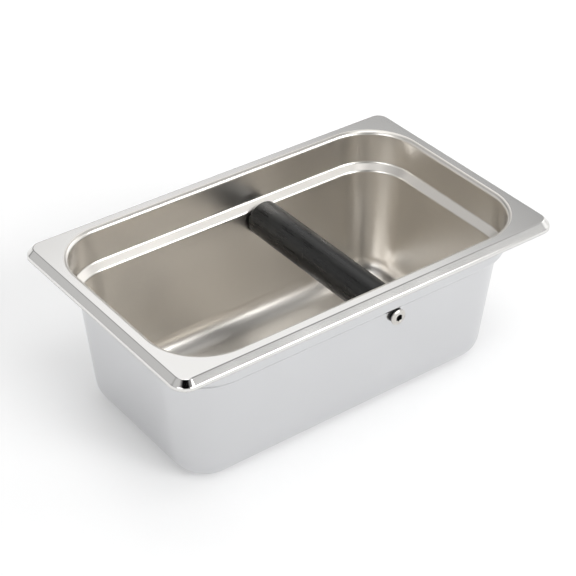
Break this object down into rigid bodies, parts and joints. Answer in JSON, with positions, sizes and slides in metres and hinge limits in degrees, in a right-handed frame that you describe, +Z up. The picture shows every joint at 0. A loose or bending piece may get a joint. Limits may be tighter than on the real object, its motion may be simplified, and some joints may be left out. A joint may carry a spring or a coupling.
{
  "type": "coffee grounds bin",
  "caption": "Rectangular stainless steel bin for coffee grounds, with a rolled rim, a stacking ledge and a rubber-sleeved knock bar screwed across it.",
  "frame": {"origin": "middle of the pan's underside, on the surface it stands on", "axes": "+X along the pan's length towards the knock bar's end, +Y across the pan to the back, +Z up"},
  "size_m": [0.265, 0.162, 0.1],
  "materials": {
    "pan_steel": "satin deep-drawn stainless sheet",
    "bar_steel": "turned bar",
    "bar_rubber": "matt black, moulded",
    "screw_steel": "bright machined stainless",
    "seal_rubber": "matt black"
  },
  "bodies": {
    "bin": {"pan": "pan_steel", "knock_bar_core": "bar_steel", "screw_front": "screw_steel", "screw_back": "screw_steel", "seal_outer_front": "seal_rubber", "seal_outer_back": "seal_rubber", "seal_inner_front": "seal_rubber", "seal_inner_back": "seal_rubber"},
    "sleeve": {"knock_bar_sleeve": "bar_rubber"}
  },
  "joints": [
    {"name": "sleeve_turn", "type": "hinge", "parent": "bin", "child": "sleeve", "pos_m": [0.025, 0, 0.0684], "axis": [0, 1, 0], "continuous": true}
  ]
}
